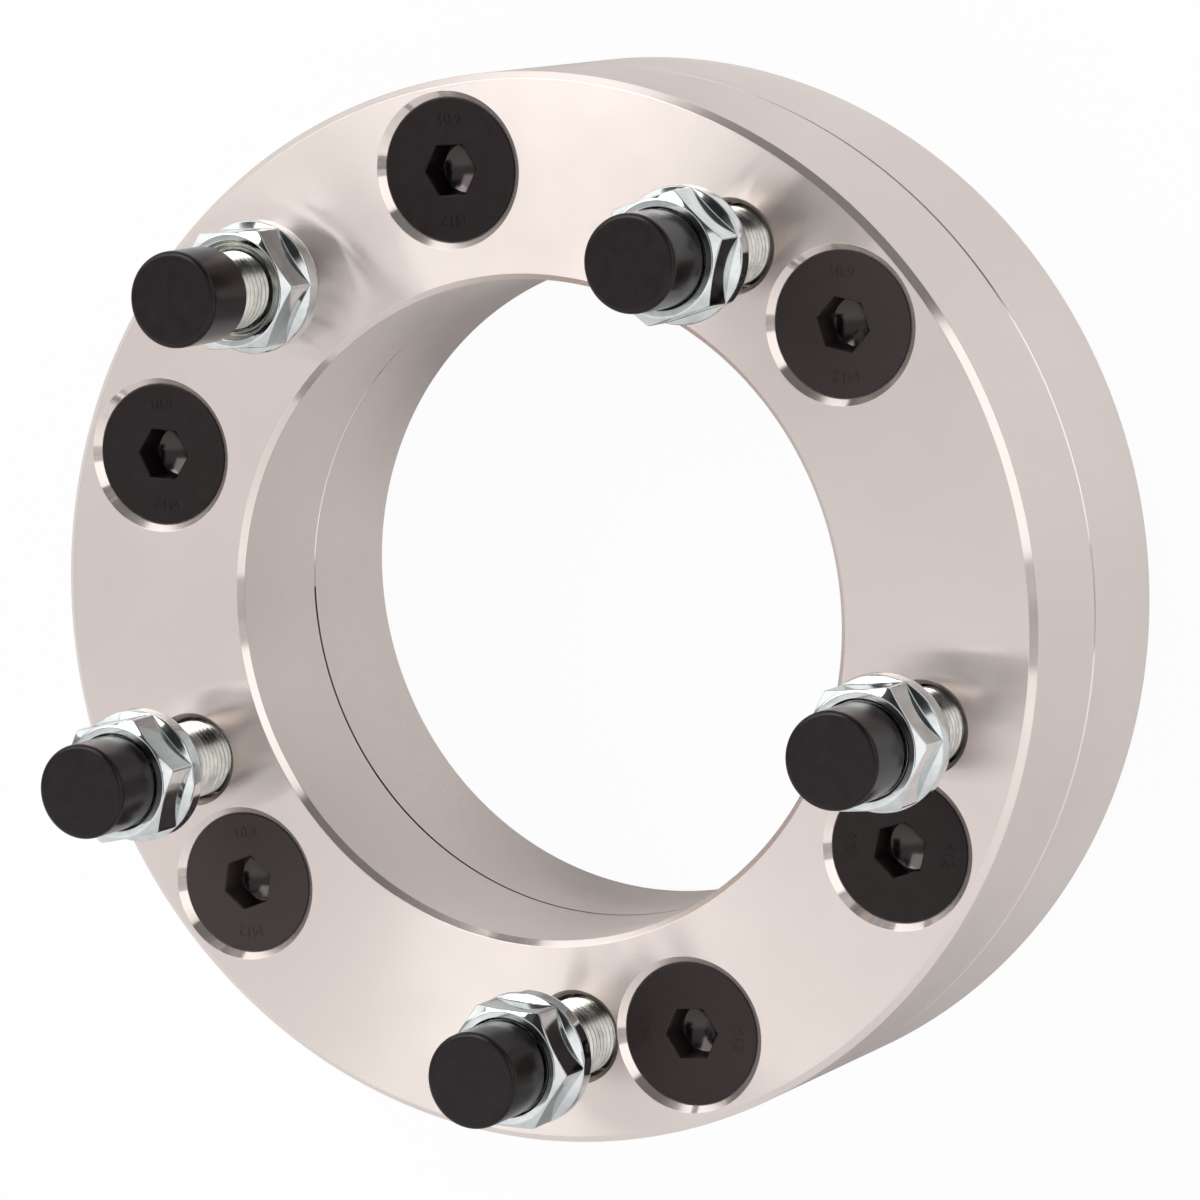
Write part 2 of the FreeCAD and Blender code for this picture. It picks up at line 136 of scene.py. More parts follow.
def meshFrom(name, patches):
    # Joins the patches, merges what they share and points every face outwards. Each face keeps
    # the middle it was turned round.
    vertices, faces, middles = [], [], []
    start = 0
    for patchVertices, patchFaces, middle in patches:
        vertices.append(patchVertices * mm)
        faces += (patchFaces + start).tolist()
        middles.append(np.broadcast_to(np.array([*middle, 0]) * mm, (len(patchFaces), 3)))
        start += len(patchVertices)
    mesh = bpy.data.meshes.new(name)
    mesh.from_pydata(np.concatenate(vertices).tolist(), [], faces)
    turnedRound = mesh.attributes.new("turnedRound", "FLOAT_VECTOR", "FACE")
    turnedRound.data.foreach_set("vector", np.concatenate(middles).reshape(-1))
    build = bmesh.new()
    build.from_mesh(mesh)
    bmesh.ops.remove_doubles(build, verts=build.verts, dist=0.0004 * mm)
    bmesh.ops.dissolve_degenerate(build, edges=build.edges, dist=0.0002 * mm)
    bmesh.ops.recalc_face_normals(build, faces=build.faces)
    build.to_mesh(mesh)
    build.free()
    return mesh


def linkObject(name, data):
    holder = bpy.data.objects.new(name, data)
    bpy.context.scene.collection.objects.link(holder)
    return holder


def addPiece(name, patches, node, material, sharpAngle=35):
    # Stands in for a CAD node, shaded smooth apart from its sharp edges.
    mesh = meshFrom(name, patches)
    mesh.shade_smooth()
    mesh.set_sharp_from_angle(angle=math.radians(sharpAngle))
    mesh.materials.append(material)
    piece = linkObject(name, mesh)
    evenShading = piece.modifiers.new("evenShading", "WEIGHTED_NORMAL")
    evenShading.keep_sharp = True
    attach(piece, "root")
    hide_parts(node)
    return piece


def evenAngles(count):
    return np.arange(count) * 2 * math.pi / count


def flatHalfAngle(flats, cornerRound):
    # Half the angle that a flat spans as seen from the axis, up to where its corner starts to turn.
    inside = flats / 2
    return math.atan((inside - cornerRound) * math.tan(math.radians(30)) / inside)


def hexAngles(turn, flats, cornerRound, perFlat=11, perCorner=3):
    # Angles gathered at the six rounded corners, with the rest spread along the flats.
    half = flatHalfAngle(flats, cornerRound)
    acrossFlat = np.linspace(-half, half, perFlat + 2)
    acrossCorner = np.linspace(half, math.radians(60) - half, perCorner * 2 + 1)[1:-1]
    oneSide = np.concatenate([acrossFlat, acrossCorner])
    sides = np.arange(6)[:, None] * math.radians(60)
    return (math.radians(turn + 30) + sides + oneSide[None, :]).reshape(-1)


def hexRadius(angles, turn, flats, cornerRound):
    # Distance from the axis to a hexagon: flat / cos(angle) on a side, a small circle at a corner.
    inside = flats / 2
    away = (angles - math.radians(turn + 30) + math.radians(30)) % math.radians(60) - math.radians(30)
    flat = inside / np.cos(away)
    fromCorner = math.radians(30) - np.abs(away)
    circleAt = (inside - cornerRound) / math.cos(math.radians(30))
    under = np.maximum(cornerRound ** 2 - (circleAt * np.sin(fromCorner)) ** 2, 0)
    corner = circleAt * np.cos(fromCorner) + np.sqrt(under)
    return np.where(np.abs(away) > flatHalfAngle(flats, cornerRound), corner, flat)


def placeOnCircle(angle, radius):
    turn = math.radians(angle)
    return radius * math.cos(turn), radius * math.sin(turn)


def heightsOf(node):
    low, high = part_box(node)
    return low.z / mm, high.z / mm


jointHeight = heightsOf("hub_ring")[1]
wheelFace = heightsOf("wheel_ring")[1]


# Node helpers: each takes the node tree, and values that are numbers or sockets


def feed(tree, socket, value):
    if isinstance(value, bpy.types.NodeSocket):
        tree.links.new(value, socket)
    else:
        socket.default_value = value


def add(tree, kind, **values):
    # A node with its settings, and its inputs given by name with _ for a space.
    node = tree.nodes.new("ShaderNode" + kind)
    for key, value in values.items():
        if key in node.bl_rna.properties:
            setattr(node, key, value)
        else:
            feed(tree, node.inputs[key.replace("_", " ")], value)
    return node


def mathNode(tree, operation, *values):
    node = add(tree, "Math", operation=operation)
    for socket, value in zip(node.inputs, values):
        feed(tree, socket, value)
    return node.outputs["Value"]


def vectorNode(tree, operation, *values):
    node = add(tree, "VectorMath", operation=operation)
    for socket, value in zip(node.inputs, values):
        feed(tree, socket, value)
    return node.outputs["Value" if operation in ("LENGTH", "DOT_PRODUCT") else "Vector"]


def mapNode(tree, value, start, end, low=0.0, high=1.0, smooth=False):
    # From low at start to high at end, and level beyond them.
    node = add(tree, "MapRange", From_Min=start, From_Max=end, To_Min=low, To_Max=high, Value=value)
    node.interpolation_type = "SMOOTHSTEP" if smooth else "LINEAR"
    return node.outputs["Result"]


def mixNode(tree, factor, first, second, kind="Float"):
    # first x (1 - factor) + second x factor, of numbers, or of colours where kind is Color.
    node = add(tree, "Mix", data_type={"Float": "FLOAT", "Color": "RGBA"}[kind])
    sockets = {socket.identifier: socket for socket in [*node.inputs, *node.outputs]}
    feed(tree, sockets["Factor_Float"], factor)
    feed(tree, sockets["A_" + kind], first)
    feed(tree, sockets["B_" + kind], second)
    return sockets["Result_" + kind]


def ramp(tree, source, stops):
    # A colour ramp from (position, colour) pairs.
    node = add(tree, "ValToRGB", Fac=source)
    elements = node.color_ramp.elements
    while len(elements) < len(stops):
        elements.new(0.5)
    for element, (position, colour) in zip(elements, stops):
        element.position = position
        element.color = (*colour, 1)
    return node.outputs["Color"]


def noise(tree, place, scale, detail, roughness=0.5):
    return add(tree, "TexNoise", Vector=place, Scale=scale, Detail=detail, Roughness=roughness).outputs[0]


# Materials

noiseRange = (0.3, 0.7)  # nearly all of a noise lies between these


def newMaterial(name):
    material = bpy.data.materials.new(name)
    material.use_nodes = True
    return material, material.node_tree, material.node_tree.nodes["Principled BSDF"]


def shadesOf(tree, source, look):
    # From the dark to the light colour over the middle part of a noise.
    low, high = look["shades"]
    return ramp(tree, source, [(low, look["dark"]), (high, look["light"])])


def roughnessOf(tree, source, look):
    return mapNode(tree, source, *noiseRange, *look["roughness"])


def addBump(tree, shader, height, strength, depth):
    bump = add(tree, "Bump", Strength=strength, Distance=depth * mm, Height=height)
    feed(tree, shader.inputs["Normal"], bump.outputs["Normal"])


turnedMetal = dict(
    light=(0.83, 0.74, 0.705), dark=(0.77, 0.68, 0.64), shades=(0.35, 0.65), roughness=(0.21, 0.27),
    metallic=0.81, anisotropy=1.0, chamferBand=(0.3, 0.1), chamferRoughness=0.12, cloudScale=35.0,
    toolMark=0.22, markShare=0.35, markDepth=0.0010, markStrength=0.06,
    # The joint line's darkening is partly a real dark joint and partly painted shade on one side of the bore
    jointLine=0.28, jointWithin=60.0, shadedSideMiddle=230.0, jointShadeColour=(0.03, 0.03, 0.03, 1),
)


def paintedJointShade(tree, place, height, fromAxis, look):
    # 1 where the joint between the rings is darkened: close to the joint's height, in the bore, and on the
    # side where place . direction is above 0. A real joint line is dark, and keeping the darkening to the one
    # side where shade falls is painted shade.
    fromJoint = mathNode(tree, "ABSOLUTE", mathNode(tree, "SUBTRACT", height, jointHeight * mm))
    atJoint = mathNode(tree, "LESS_THAN", fromJoint, look["jointLine"] * mm)
    inBore = mathNode(tree, "LESS_THAN", fromAxis, look["jointWithin"] * mm)
    sideways = (*placeOnCircle(look["shadedSideMiddle"], 1.0), 0)
    inShadedSide = mathNode(tree, "GREATER_THAN", vectorNode(tree, "DOT_PRODUCT", place, sideways), 0.0)
    return mathNode(tree, "MULTIPLY", mathNode(tree, "MULTIPLY", atJoint, inBore), inShadedSide)


def makeTurnedMetal():
    # Aluminium off the lathe. Fine marks follow the circle each face was turned on, so the shine
    # spreads across them. Chamfers, which lean at 45 degrees, are cut brighter than the faces.
    look = turnedMetal
    material, tree, shader = newMaterial("turnedAluminium")
    surface = add(tree, "TexCoord")
    place = surface.outputs["Object"]
    middle = add(tree, "Attribute", attribute_name="turnedRound").outputs["Vector"]
    across = vectorNode(tree, "MULTIPLY", vectorNode(tree, "SUBTRACT", place, middle), (1, 1, 0))
    along = vectorNode(tree, "CROSS_PRODUCT", (0, 0, 1), across)
    feed(tree, shader.inputs["Tangent"], vectorNode(tree, "NORMALIZE", along))
    fromMiddle = vectorNode(tree, "LENGTH", across)
    height = add(tree, "SeparateXYZ", Vector=place).outputs["Z"]
    toolPath = add(tree, "CombineXYZ", X=fromMiddle, Y=height).outputs["Vector"]
    marks = noise(tree, toolPath, 1 / (look["toolMark"] * mm), detail=3.0, roughness=0.65)
    cloud = noise(tree, place, look["cloudScale"], detail=4.0, roughness=0.6)
    mixed = mathNode(tree, "ADD", mathNode(tree, "MULTIPLY", marks, look["markShare"]),
                     mathNode(tree, "MULTIPLY", cloud, 1 - look["markShare"]))
    # Painted shade: the joint line in the bore is darkened on one side only
    jointShadeMask = paintedJointShade(tree, place, height, fromMiddle, look)
    colour = mixNode(tree, jointShadeMask, shadesOf(tree, mixed, look), look["jointShadeColour"], "Color")
    feed(tree, shader.inputs["Base Color"], colour)
    # The square of the normal's height is 1 on a flat face, 0 on a wall and a half on a chamfer
    lean = add(tree, "SeparateXYZ", Vector=surface.outputs["Normal"]).outputs["Z"]
    fromHalf = mathNode(tree, "SUBTRACT", mathNode(tree, "MULTIPLY", lean, lean), 0.5)
    chamfer = mapNode(tree, mathNode(tree, "ABSOLUTE", fromHalf), *look["chamferBand"])
    rough = mixNode(tree, chamfer, roughnessOf(tree, mixed, look), look["chamferRoughness"])
    feed(tree, shader.inputs["Roughness"], rough)
    addBump(tree, shader, marks, look["markStrength"], look["markDepth"])
    shader.inputs["Metallic"].default_value = look["metallic"]
    shader.inputs["Anisotropic"].default_value = look["anisotropy"]
    shader.inputs["Anisotropic Rotation"].default_value = 0.25  # a quarter turn: across the marks
    return material


def makePlating(name, look):
    # Bright plating: slightly cloudy in colour and gloss, with a fine ripple.
    material, tree, shader = newMaterial(name)
    place = add(tree, "TexCoord").outputs["Object"]
    cloud = noise(tree, place, look["cloudScale"], detail=3.0, roughness=0.55)
    feed(tree, shader.inputs["Base Color"], shadesOf(tree, cloud, look))
    feed(tree, shader.inputs["Roughness"], roughnessOf(tree, cloud, look))
    ripple = noise(tree, place, look["rippleScale"], detail=2.0)
    addBump(tree, shader, ripple, look["rippleStrength"], look["rippleDepth"])
    shader.inputs["Metallic"].default_value = 1.0
    return material


def makeDark(name, look):
    # A black satin skin with faint patches and a fine grain. Where the look has a worn colour, the
    # piece's own values show the worn skin and the bare steel that a drill left.
    material, tree, shader = newMaterial(name)
    place = add(tree, "TexCoord").outputs["Object"]
    cloud = noise(tree, place, look["cloudScale"], detail=4.0, roughness=0.6)
    colour = shadesOf(tree, cloud, look)
    rough = roughnessOf(tree, cloud, look)
    if "worn" in look:
        wear = add(tree, "Attribute", attribute_name="wear").outputs["Fac"]
        drilled = add(tree, "Attribute", attribute_name="drilled").outputs["Fac"]
        colour = mixNode(tree, wear, colour, look["worn"], "Color")
        colour = mixNode(tree, drilled, colour, look["bare"], "Color")
        rough = mathNode(tree, "SUBTRACT", rough, mathNode(tree, "MULTIPLY", drilled, look["bareSmoother"]))
        feed(tree, shader.inputs["Metallic"], drilled)
    feed(tree, shader.inputs["Base Color"], colour)
    feed(tree, shader.inputs["Roughness"], rough)
    grain = noise(tree, place, look["grainScale"], detail=3.0)
    addBump(tree, shader, grain, look["grainStrength"], look["grainDepth"])
    shader.inputs["Specular IOR Level"].default_value = look["specular"]
    return material


aluminium = makeTurnedMetal()
nutPlating = makePlating("nutPlating", dict(
    light=(0.72, 0.745, 0.745), dark=(0.58, 0.605, 0.61), shades=(0.35, 0.65), roughness=(0.05, 0.10),
    cloudScale=260.0, rippleScale=500.0, rippleDepth=0.004, rippleStrength=0.3,
))
studPlating = makePlating("studPlating", dict(
    light=(0.66, 0.645, 0.59), dark=(0.40, 0.39, 0.36), shades=(0.35, 0.65), roughness=(0.14, 0.28),
    cloudScale=260.0, rippleScale=900.0, rippleDepth=0.006, rippleStrength=0.3,
))
blackOxide = makeDark("blackOxide", dict(
    light=(0.0130, 0.0072, 0.0078), dark=(0.0088, 0.0042, 0.0046), shades=(0.35, 0.7), roughness=(0.34, 0.42),
    worn=(0.050, 0.037, 0.036, 1), bare=(0.058, 0.050, 0.050, 1), bareSmoother=0.25, specular=0.22,
    cloudScale=420.0, grainScale=1800.0, grainDepth=0.008, grainStrength=0.4,
))
capPlastic = makeDark("capPlastic", dict(
    light=(0.0135, 0.0085, 0.0090), dark=(0.0085, 0.0045, 0.0050), shades=(0.35, 0.7), roughness=(0.21, 0.25),
    specular=0.26, cloudScale=420.0, grainScale=1200.0, grainDepth=0.003, grainStrength=0.4,
))
print("materials made")


# Rings

ring = dict(
    outerRadius=87.5, boreRadius=54.0, faceChamfer=1.15, boreChamfer=1.0, jointBreak=0.4,
    boreJointBreak=0.28, edgeRound=0.1, columns=480,
)
hole = dict(
    columns=96, edgeRound=0.04, studCircle=69.85, screwCircle=72.8,
    studAngles=[90 + 72 * index for index in range(5)],
    hubAngles=[90 + 60 * index for index in range(6)],
    screwAngles=[120.0, 180.0, 250.3, 289.7, 360.0, 420.0],
    studRadius=7.0, studChamfer=0.8, studDepth=8.0, knurlRadius=6.75, headRadius=10.0, headDepth=5.25,
    coneMouth=12.87, screwRadius=6.6,
    hubRadius=7.25, hubChamfer=0.6, seatStart=5.0, seatEnd=11.0, seatRadius=10.7, pocketRadius=13.5,
    tappedRadius=6.0, tappedMouth=0.6, tappedDepth=19.0, tappedTip=3.0,
)


def holePatches(angles, circle, corners):
    around = evenAngles(hole["columns"])
    return [turnedPatch(corners, around, placeOnCircle(angle, circle)) for angle in angles]


def loopsOf(angles, circle, radius):
    around = evenAngles(hole["columns"])
    return [(placeOnCircle(angle, circle), radius, around) for angle in angles]


def addRing(name, node, heights, edges, boreEdges, holes, plateHoles):
    # The outside and the bore are turned, the two flat faces fill the space between the holes.
    # Each pair is the value at the lower and at the upper face.
    outer, bore, soft = ring["outerRadius"], ring["boreRadius"], ring["edgeRound"]
    around = evenAngles(ring["columns"])
    low, high = heights
    lowEdge, highEdge = edges
    lowBore, highBore = boreEdges
    outside = [
        (outer - highEdge - soft, high, 0), (outer - highEdge, high, soft), (outer, high - highEdge, soft),
        (outer, low + lowEdge, soft), (outer - lowEdge, low, soft), (outer - lowEdge - soft, low, 0),
    ]
    inside = [
        (bore + lowBore + soft, low, 0), (bore + lowBore, low, soft), (bore, low + lowBore, soft),
        (bore, high - highBore, soft), (bore + highBore, high, soft), (bore + highBore + soft, high, 0),
    ]
    patches = [turnedPatch(outside, around), turnedPatch(inside, around)] + holes
    for height, edge, boreEdge, loops in zip(heights, edges, boreEdges, plateHoles):
        outerLoop = ((0, 0), outer - edge - soft, around)
        boreLoop = ((0, 0), bore + boreEdge + soft, around)
        patches.append(platePatch(height, outerLoop, boreLoop, loops))
    return addPiece(name, patches, node, aluminium, sharpAngle=25)


def addWheelRing():
    # Stepped holes for the studs and their heads, and 45 degree cones for the ring screws.
    low, high, soft = jointHeight, wheelFace, hole["edgeRound"]
    studEdge = hole["studRadius"] + hole["studChamfer"]
    studHole = [
        (studEdge + soft, high, 0), (studEdge, high, soft),
        (hole["studRadius"], high - hole["studChamfer"], soft),
        (hole["studRadius"], high - hole["studDepth"], 0), (hole["knurlRadius"], high - hole["studDepth"], 0),
        (hole["knurlRadius"], low + hole["headDepth"], 0), (hole["headRadius"], low + hole["headDepth"], 0),
        (hole["headRadius"], low, 0),
    ]
    coneEnd = high - hole["coneMouth"] + hole["screwRadius"]
    screwHole = [
        (hole["coneMouth"] + soft, high, 0), (hole["coneMouth"], high, soft),
        (hole["screwRadius"], coneEnd, 0), (hole["screwRadius"], low, 0),
    ]
    holes = holePatches(hole["studAngles"], hole["studCircle"], studHole)
    holes += holePatches(hole["screwAngles"], hole["screwCircle"], screwHole)
    lowHoles = loopsOf(hole["studAngles"], hole["studCircle"], hole["headRadius"])
    lowHoles += loopsOf(hole["screwAngles"], hole["screwCircle"], hole["screwRadius"])
    highHoles = loopsOf(hole["studAngles"], hole["studCircle"], studEdge + soft)
    highHoles += loopsOf(hole["screwAngles"], hole["screwCircle"], hole["coneMouth"] + soft)
    return addRing("wheelRingTurned", "wheel_ring", (low, high), (ring["jointBreak"], ring["faceChamfer"]),
                   (ring["boreJointBreak"], ring["boreChamfer"]), holes, (lowHoles, highHoles))


def addHubRing():
    # Hub stud holes that widen over a conical nut seat into a pocket, and tapped holes that end
    # in a drilled cone.
    low, high, soft = 0.0, jointHeight, hole["edgeRound"]
    hubEdge = hole["hubRadius"] + hole["hubChamfer"]
    hubHole = [
        (hubEdge + soft, low, 0), (hubEdge, low, soft), (hole["hubRadius"], low + hole["hubChamfer"], soft),
        (hole["hubRadius"], hole["seatStart"], soft), (hole["seatRadius"], hole["seatEnd"], soft),
        (hole["pocketRadius"], hole["seatEnd"], 0), (hole["pocketRadius"], high, 0),
    ]
    mouth = hole["tappedRadius"] + hole["tappedMouth"]
    tappedFloor = high - hole["tappedDepth"]
    tappedHole = [
        (mouth, high, 0), (hole["tappedRadius"], high - hole["tappedMouth"], 0),
        (hole["tappedRadius"], tappedFloor, 0), (0, tappedFloor - hole["tappedTip"], 0),
    ]
    holes = holePatches(hole["hubAngles"], hole["studCircle"], hubHole)
    holes += holePatches(hole["screwAngles"], hole["screwCircle"], tappedHole)
    lowHoles = loopsOf(hole["hubAngles"], hole["studCircle"], hubEdge + soft)
    highHoles = loopsOf(hole["hubAngles"], hole["studCircle"], hole["pocketRadius"])
    highHoles += loopsOf(hole["screwAngles"], hole["screwCircle"], mouth)
    return addRing("hubRingTurned", "hub_ring", (low, high), (ring["faceChamfer"], ring["jointBreak"]),
                   (ring["boreChamfer"], ring["boreJointBreak"]), holes, (lowHoles, highHoles))


addWheelRing()
addHubRing()
print("rings made")


# Ring screws

screw = dict(
    headRadius=11.6, headRound=0.15, rim=0.25, rimRound=0.1, neckRound=0.3, shankRadius=5.9,
    tipChamfer=1.0, tipRound=0.1,
    socketFlats=8.0, socketCorner=0.15, socketDepth=5.8, socketEdge=0.2, socketEdgeRound=0.06,
    socketFloorRound=0.15, socketCone=1.8, coneInside=0.02, coneRound=0.1,
    turns=[16.0, 40.0, 23.0, 36.0, 7.0, 22.0], wear=[0.05, 1.0, 0.5, 0.12, 0.65, 0.0],
    marks=("10.9", "M12"), markSize=2.6, markCircle=8.3, markHeight=0.1, markSunk=0.05,
    markAngles=[51, 51, 138, 138, 51, 51],
)


def markPatch(words, angle, height, centre):
    # Raised letters bent round the middle: distance from the axis = circle + letter height, and
    # angle = start - letter width / circle.
    curve = bpy.data.curves.new("words", "FONT")
    curve.body = words
    curve.size = screw["markSize"]
    curve.align_x, curve.align_y = "CENTER", "CENTER"
    curve.resolution_u = 3
    curve.extrude = (screw["markHeight"] + screw["markSunk"]) / 2
    holder = linkObject("words", curve)
    drawn = bpy.data.meshes.new_from_object(holder.evaluated_get(bpy.context.evaluated_depsgraph_get()))
    points = np.empty(len(drawn.vertices) * 3)
    drawn.vertices.foreach_get("co", points)
    drawn.calc_loop_triangles()
    triangles = np.empty(len(drawn.loop_triangles) * 3, int)
    drawn.loop_triangles.foreach_get("vertices", triangles)
    bpy.data.objects.remove(holder)
    bpy.data.curves.remove(curve)
    bpy.data.meshes.remove(drawn)
    points = points.reshape(-1, 3)
    radius = screw["markCircle"] + points[:, 1]
    turn = math.radians(angle) - points[:, 0] / screw["markCircle"]
    lift = height + points[:, 2] + (screw["markHeight"] - screw["markSunk"]) / 2
    bent = np.stack([centre[0] + radius * np.cos(turn), centre[1] + radius * np.sin(turn), lift], axis=-1)
    return bent, triangles.reshape(-1, 3), centre


def setFaceValues(mesh, name, values):
    mesh.attributes.new(name, "FLOAT", "FACE").data.foreach_set("value", values)


def addScrew(number):
    # From the bottom of the hex socket up, over the head and down the shank.
    node = f"ring_screw_{number}"
    low, high = heightsOf(node)
    turn = screw["turns"][number - 1]
    around = hexAngles(turn, screw["socketFlats"], screw["socketCorner"])
    socket = hexRadius(around, turn, screw["socketFlats"], screw["socketCorner"])
    floor = high - screw["socketDepth"]
    coneRadius = screw["socketFlats"] / 2 - screw["coneInside"]
    edge, rim = screw["socketEdge"], screw["rim"]
    head, shank, tip = screw["headRadius"], screw["shankRadius"], screw["tipChamfer"]
    corners = [
        (0, floor - screw["socketCone"], 0), (coneRadius, floor, screw["coneRound"]),
        (socket, floor, screw["socketFloorRound"]), (socket, high - edge, screw["socketEdgeRound"]),
        (socket + edge, high, screw["socketEdgeRound"]), (head, high, screw["headRound"]),
        (head, high - rim, screw["rimRound"]), (shank, high - rim - head + shank, screw["neckRound"]),
        (shank, low + tip, screw["tipRound"]), (shank - tip, low, screw["tipRound"]), (0, low, 0),
    ]
    centre = placeOnCircle(hole["screwAngles"][number - 1], hole["screwCircle"])
    patches = [turnedPatch(corners, around, centre)]
    for side, words in enumerate(screw["marks"]):
        patches.append(markPatch(words, screw["markAngles"][number - 1] + 180 * side, high, centre))
    piece = addPiece(f"ringScrewBlack{number}", patches, node, blackOxide, sharpAngle=40)
    faceCount = len(piece.data.polygons)
    setFaceValues(piece.data, "wear", np.full(faceCount, screw["wear"][number - 1]))
    # The drilled bottom of the socket is bare steel
    middles = np.empty(faceCount * 3)
    piece.data.polygons.foreach_get("center", middles)
    middles = middles.reshape(-1, 3) / mm
    inside = np.hypot(middles[:, 0] - centre[0], middles[:, 1] - centre[1]) < coneRadius
    inside &= np.abs(middles[:, 2] - floor) < screw["socketCone"] + screw["coneRound"]
    setFaceValues(piece.data, "drilled", inside.astype(float))
    return piece


for number in range(1, len(hole["screwAngles"]) + 1):
    addScrew(number)
print("screws made")


# Wheel studs

stud = dict(
    headRadius=9.75, headBreak=0.4, headThickness=5.0, headRound=0.2,
    knurlRadius=6.7, knurlLength=11.5, knurlRunOut=0.5, knurlRound=0.1,
    threadRadius=6.35, pitch=1.27, threadDepth=0.7, tipChamfer=1.2, columns=72,
)


def threadPatch(low, high, centre):
    # Four rows a turn follow the helix: both edges of the crest and both edges of the root.
    # height = start + pitch (row + angle / full turn), held between the ends of the thread, and
    # the radius falls at the tip.
    rowPlaces = np.array([0.0, 0.125, 0.45, 0.675])
    rowDepths = np.array([0.0, 0.0, 1.0, 1.0])
    perTurn = len(rowPlaces)
    turns = int((high - low) / stud["pitch"]) + 3
    columns = stud["columns"]
    around = evenAngles(columns)
    places = (np.arange(turns)[:, None] - 1 + rowPlaces[None, :]).reshape(-1, 1)
    depths = np.tile(rowDepths, turns)[:, None]
    heights = low + stud["pitch"] * (places + around[None, :] / (2 * math.pi))
    runOut = np.clip((heights - low) / stud["pitch"], 0, 1)
    radius = stud["threadRadius"] - stud["threadDepth"] * depths * runOut
    heights = np.clip(heights, low, high)
    radius = np.minimum(radius, stud["threadRadius"] - stud["tipChamfer"] + (high - heights))
    x = centre[0] + radius * np.cos(around)
    y = centre[1] + radius * np.sin(around)
    vertices = np.stack([x, y, heights], axis=-1).reshape(-1, 3)
    row = np.arange(len(places) - perTurn - 1)[:, None]
    column = np.arange(columns)[None, :]
    nextColumn = (column + 1) % columns
    nextStart = np.where(column == columns - 1, row + perTurn, row)  # one turn further up at the seam
    corners = [
        row * columns + column, nextStart * columns + nextColumn,
        (nextStart + 1) * columns + nextColumn, (row + 1) * columns + column,
    ]
    faces = np.stack(np.broadcast_arrays(*corners), axis=-1).reshape(-1, 4)
    return vertices, faces, centre


def addStud(number):
    # The head and the knurled shank are turned, then comes the thread, and a flat tip closes it.
    node = f"wheel_stud_{number}"
    low, high = heightsOf(node)
    centre = placeOnCircle(hole["studAngles"][number - 1], hole["studCircle"])
    headEnd = low + stud["headThickness"]
    knurlEnd = headEnd + stud["knurlLength"]
    head, knurl, thread = stud["headRadius"], stud["knurlRadius"], stud["threadRadius"]
    shank = [
        (0, low, 0), (head, low, stud["headBreak"]), (head, headEnd, stud["headRound"]),
        (knurl, headEnd, stud["headRound"]), (knurl, knurlEnd - stud["knurlRunOut"], stud["knurlRound"]),
        (thread, knurlEnd, 0),
    ]
    tip = [(thread - stud["tipChamfer"], high, 0), (0, high, 0)]
    around = evenAngles(stud["columns"])
    patches = [
        turnedPatch(shank, around, centre), threadPatch(knurlEnd, high, centre),
        turnedPatch(tip, around, centre),
    ]
    return addPiece(f"wheelStudThreaded{number}", patches, node, studPlating, sharpAngle=30)


for number in range(1, len(hole["studAngles"]) + 1):
    addStud(number)
print("studs made")


# Wheel nuts

nut = dict(
    turns=[22.08, 31.08, 15.08, 24.08, 36.08], flats=19.0, cornerRound=0.7,
    seatLength=6.2, seatEndRadius=7.37, bulgeRadius=10.95, bulgeLength=2.8, slopeLength=0.8,
    landRadius=9.2, frontAngle=30.0, mouthRadius=8.0, mouthDepth=1.3, boreRadius=6.45, backChamfer=0.35,
    rounds=dict(mouthEnd=0.1, mouth=0.25, land=0.2, front=0.22, ledge=0.15, bulgeFront=0.35, bulgeBack=0.55,
                seat=0.25, back=0.05),
)


def addNut(number):
    # Up from the bore mouth over the front chamfer, down the flats to the ledge on the bulge, and
    # back along the conical seat to the bore. The chamfer falls by (side - land) x tan(front
    # angle), and the ledge is higher where the side lies further in.
    node = f"wheel_nut_{number}"
    low, high = heightsOf(node)
    turn = nut["turns"][number - 1]
    around = hexAngles(turn, nut["flats"], nut["cornerRound"])
    side = hexRadius(around, turn, nut["flats"], nut["cornerRound"])
    bulge, bore, rounds = nut["bulgeRadius"], nut["boreRadius"], nut["rounds"]
    bulgeBack = low + nut["seatLength"]
    bulgeFront = bulgeBack + nut["bulgeLength"]
    chamferEnd = high - (side - nut["landRadius"]) * math.tan(math.radians(nut["frontAngle"]))
    ledge = bulgeFront + nut["slopeLength"] * (bulge - side) / (bulge - nut["flats"] / 2)
    corners = [
        (bore, high - nut["mouthDepth"], rounds["mouthEnd"]), (nut["mouthRadius"], high, rounds["mouth"]),
        (nut["landRadius"], high, rounds["land"]), (side, chamferEnd, rounds["front"]),
        (side, ledge, rounds["ledge"]), (bulge, bulgeFront, rounds["bulgeFront"]),
        (bulge, bulgeBack, rounds["bulgeBack"]), (nut["seatEndRadius"], low, rounds["seat"]),
        (bore + nut["backChamfer"], low, rounds["back"]), (bore, low + nut["backChamfer"], rounds["back"]),
    ]
    centre = placeOnCircle(hole["studAngles"][number - 1], hole["studCircle"])
    patch = turnedPatch(corners, around, centre, closed=True)
    return addPiece(f"wheelNutPlated{number}", [patch], node, nutPlating, sharpAngle=40)


for number in range(1, len(nut["turns"]) + 1):
    addNut(number)
print("nuts made")


# Thread caps

cap = dict(
    radius=7.8, boreRadius=6.45, boreEndRound=0.2, boreMouthRound=0.15, endWall=1.5, frontRound=0.9,
    backRound=0.3, columns=96,
)


